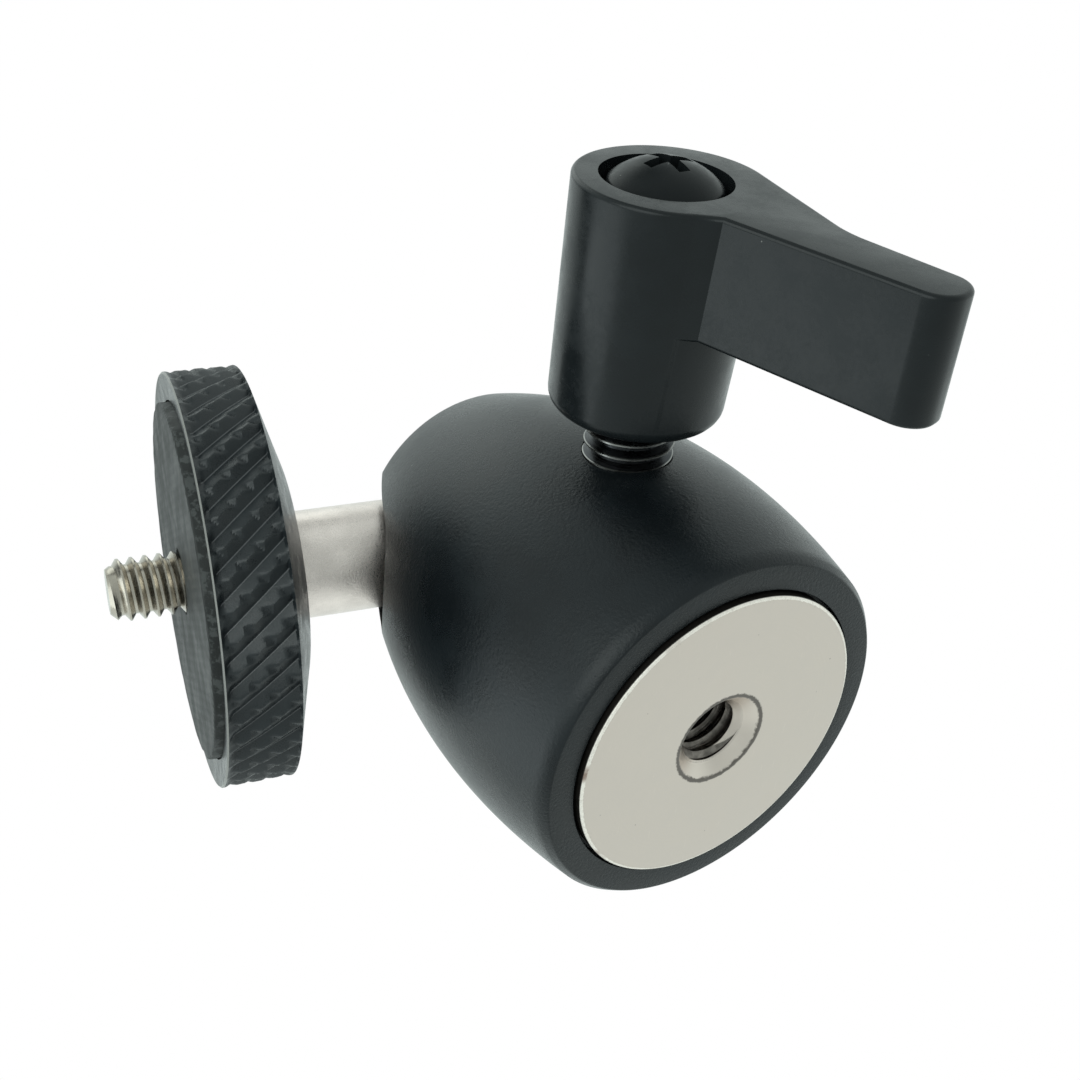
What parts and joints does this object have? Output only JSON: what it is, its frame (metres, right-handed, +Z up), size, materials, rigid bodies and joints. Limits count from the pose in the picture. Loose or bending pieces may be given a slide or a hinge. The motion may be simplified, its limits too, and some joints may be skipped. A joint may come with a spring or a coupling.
{
  "type": "tripod ball head",
  "caption": "Compact tripod ball head: barrel-shaped body with a drop notch, clamped ball and stem, knurled lock disc with a threaded stud, and a ratchet side lever.",
  "frame": {"origin": "middle of the base plate's outer face, where the threaded hole opens", "axes": "+Z up along the body's axis, the clamping lever's axis along +X, the drop notch faces -Y; stored with the stem lying in the notch at 78 degrees from upright"},
  "size_m": [0.0651, 0.0582, 0.0685],
  "materials": {
    "black_body": "fine blasted, black anodised, satin",
    "bare_plate": "bare, fine turned, light marks",
    "spring_steel": "bright spring steel",
    "machined_alloy": "as machined",
    "nylon": "natural nylon",
    "brass": "turned brass",
    "dark_steel": "black oxide steel",
    "black_lever": "smooth satin black paint on zinc alloy",
    "black_screw": "black oxide steel, glossy",
    "blasted_alloy": "bead blasted, clear anodised, satin",
    "stainless": "turned stainless steel",
    "anodised_disc": "black anodised, knurled rim, worn bright on the crests",
    "rubber_pad": "fine ribbed dark rubber"
  },
  "bodies": {
    "body": {"housing": "black_body", "base_plate": "bare_plate", "seat_spring": "spring_steel"},
    "wedge": {"pressure_pad": "brass"},
    "clamp": {"clamp_stud": "dark_steel", "lever_insert": "dark_steel", "lever_screw": "black_screw", "lever_washer": "spring_steel", "lever_spring": "spring_steel"},
    "lever": {"lever_handle": "black_lever"},
    "seat": {"lower_seat": "machined_alloy"},
    "liner": {"seat_liner": "nylon"},
    "ball": {"ball": "blasted_alloy"},
    "stem": {"stem": "blasted_alloy", "camera_stud": "stainless"},
    "pad": {"face_pad": "rubber_pad"},
    "disc": {"lock_disc": "anodised_disc"}
  },
  "joints": [
    {"name": "lever_turn", "type": "hinge", "parent": "wedge", "child": "clamp", "pos_m": [0, 0, 0.01786], "axis": [1, 0, 0], "range_deg": [0, 180]},
    {"name": "pad_advance", "type": "slide", "parent": "body", "child": "wedge", "axis": [1, 0, 0], "range_m": [0, 0.000626]},
    {"name": "seat_drop", "type": "slide", "parent": "body", "child": "seat", "axis": [0, 0, 1], "range_m": [-0.000626, 0], "deforming": ["seat_spring"]},
    {"name": "lever_lift", "type": "slide", "parent": "clamp", "child": "lever", "axis": [1, 0, 0], "range_m": [0, 0.0036], "stiffness_N_per_m": 800, "springref_m": -0.002, "deforming": ["lever_spring"]},
    {"name": "ball_pan", "type": "hinge", "parent": "body", "child": "liner", "pos_m": [0, 0, 0.03474], "axis": [0, 0, 1], "range_deg": [-1.2, 3.8]},
    {"name": "ball_tilt", "type": "hinge", "parent": "liner", "child": "ball", "pos_m": [0, 0, 0.03474], "axis": [0.9997, -0.0233, 0], "range_deg": [-100, 12]},
    {"name": "stem_spin", "type": "hinge", "parent": "ball", "child": "stem", "pos_m": [0, 0, 0.03474], "axis": [-0.0228, -0.9779, 0.2079], "continuous": true},
    {"name": "disc_advance", "type": "slide", "parent": "stem", "child": "pad", "axis": [-0.0228, -0.9779, 0.2079], "range_m": [0, 0.00381]},
    {"name": "disc_turn", "type": "hinge", "parent": "pad", "child": "disc", "pos_m": [-0.00073, -0.03139, 0.04141], "axis": [-0.0228, -0.9779, 0.2079], "range_deg": [0, 1080]}
  ],
  "couplings": [
    {"joint": "pad_advance", "follows": "lever_turn", "m_per_rad": 0.00019894},
    {"joint": "seat_drop", "follows": "lever_turn", "m_per_rad": -0.00019894},
    {"joint": "disc_turn", "follows": "disc_advance", "rad_per_m": 4947.4}
  ]
}
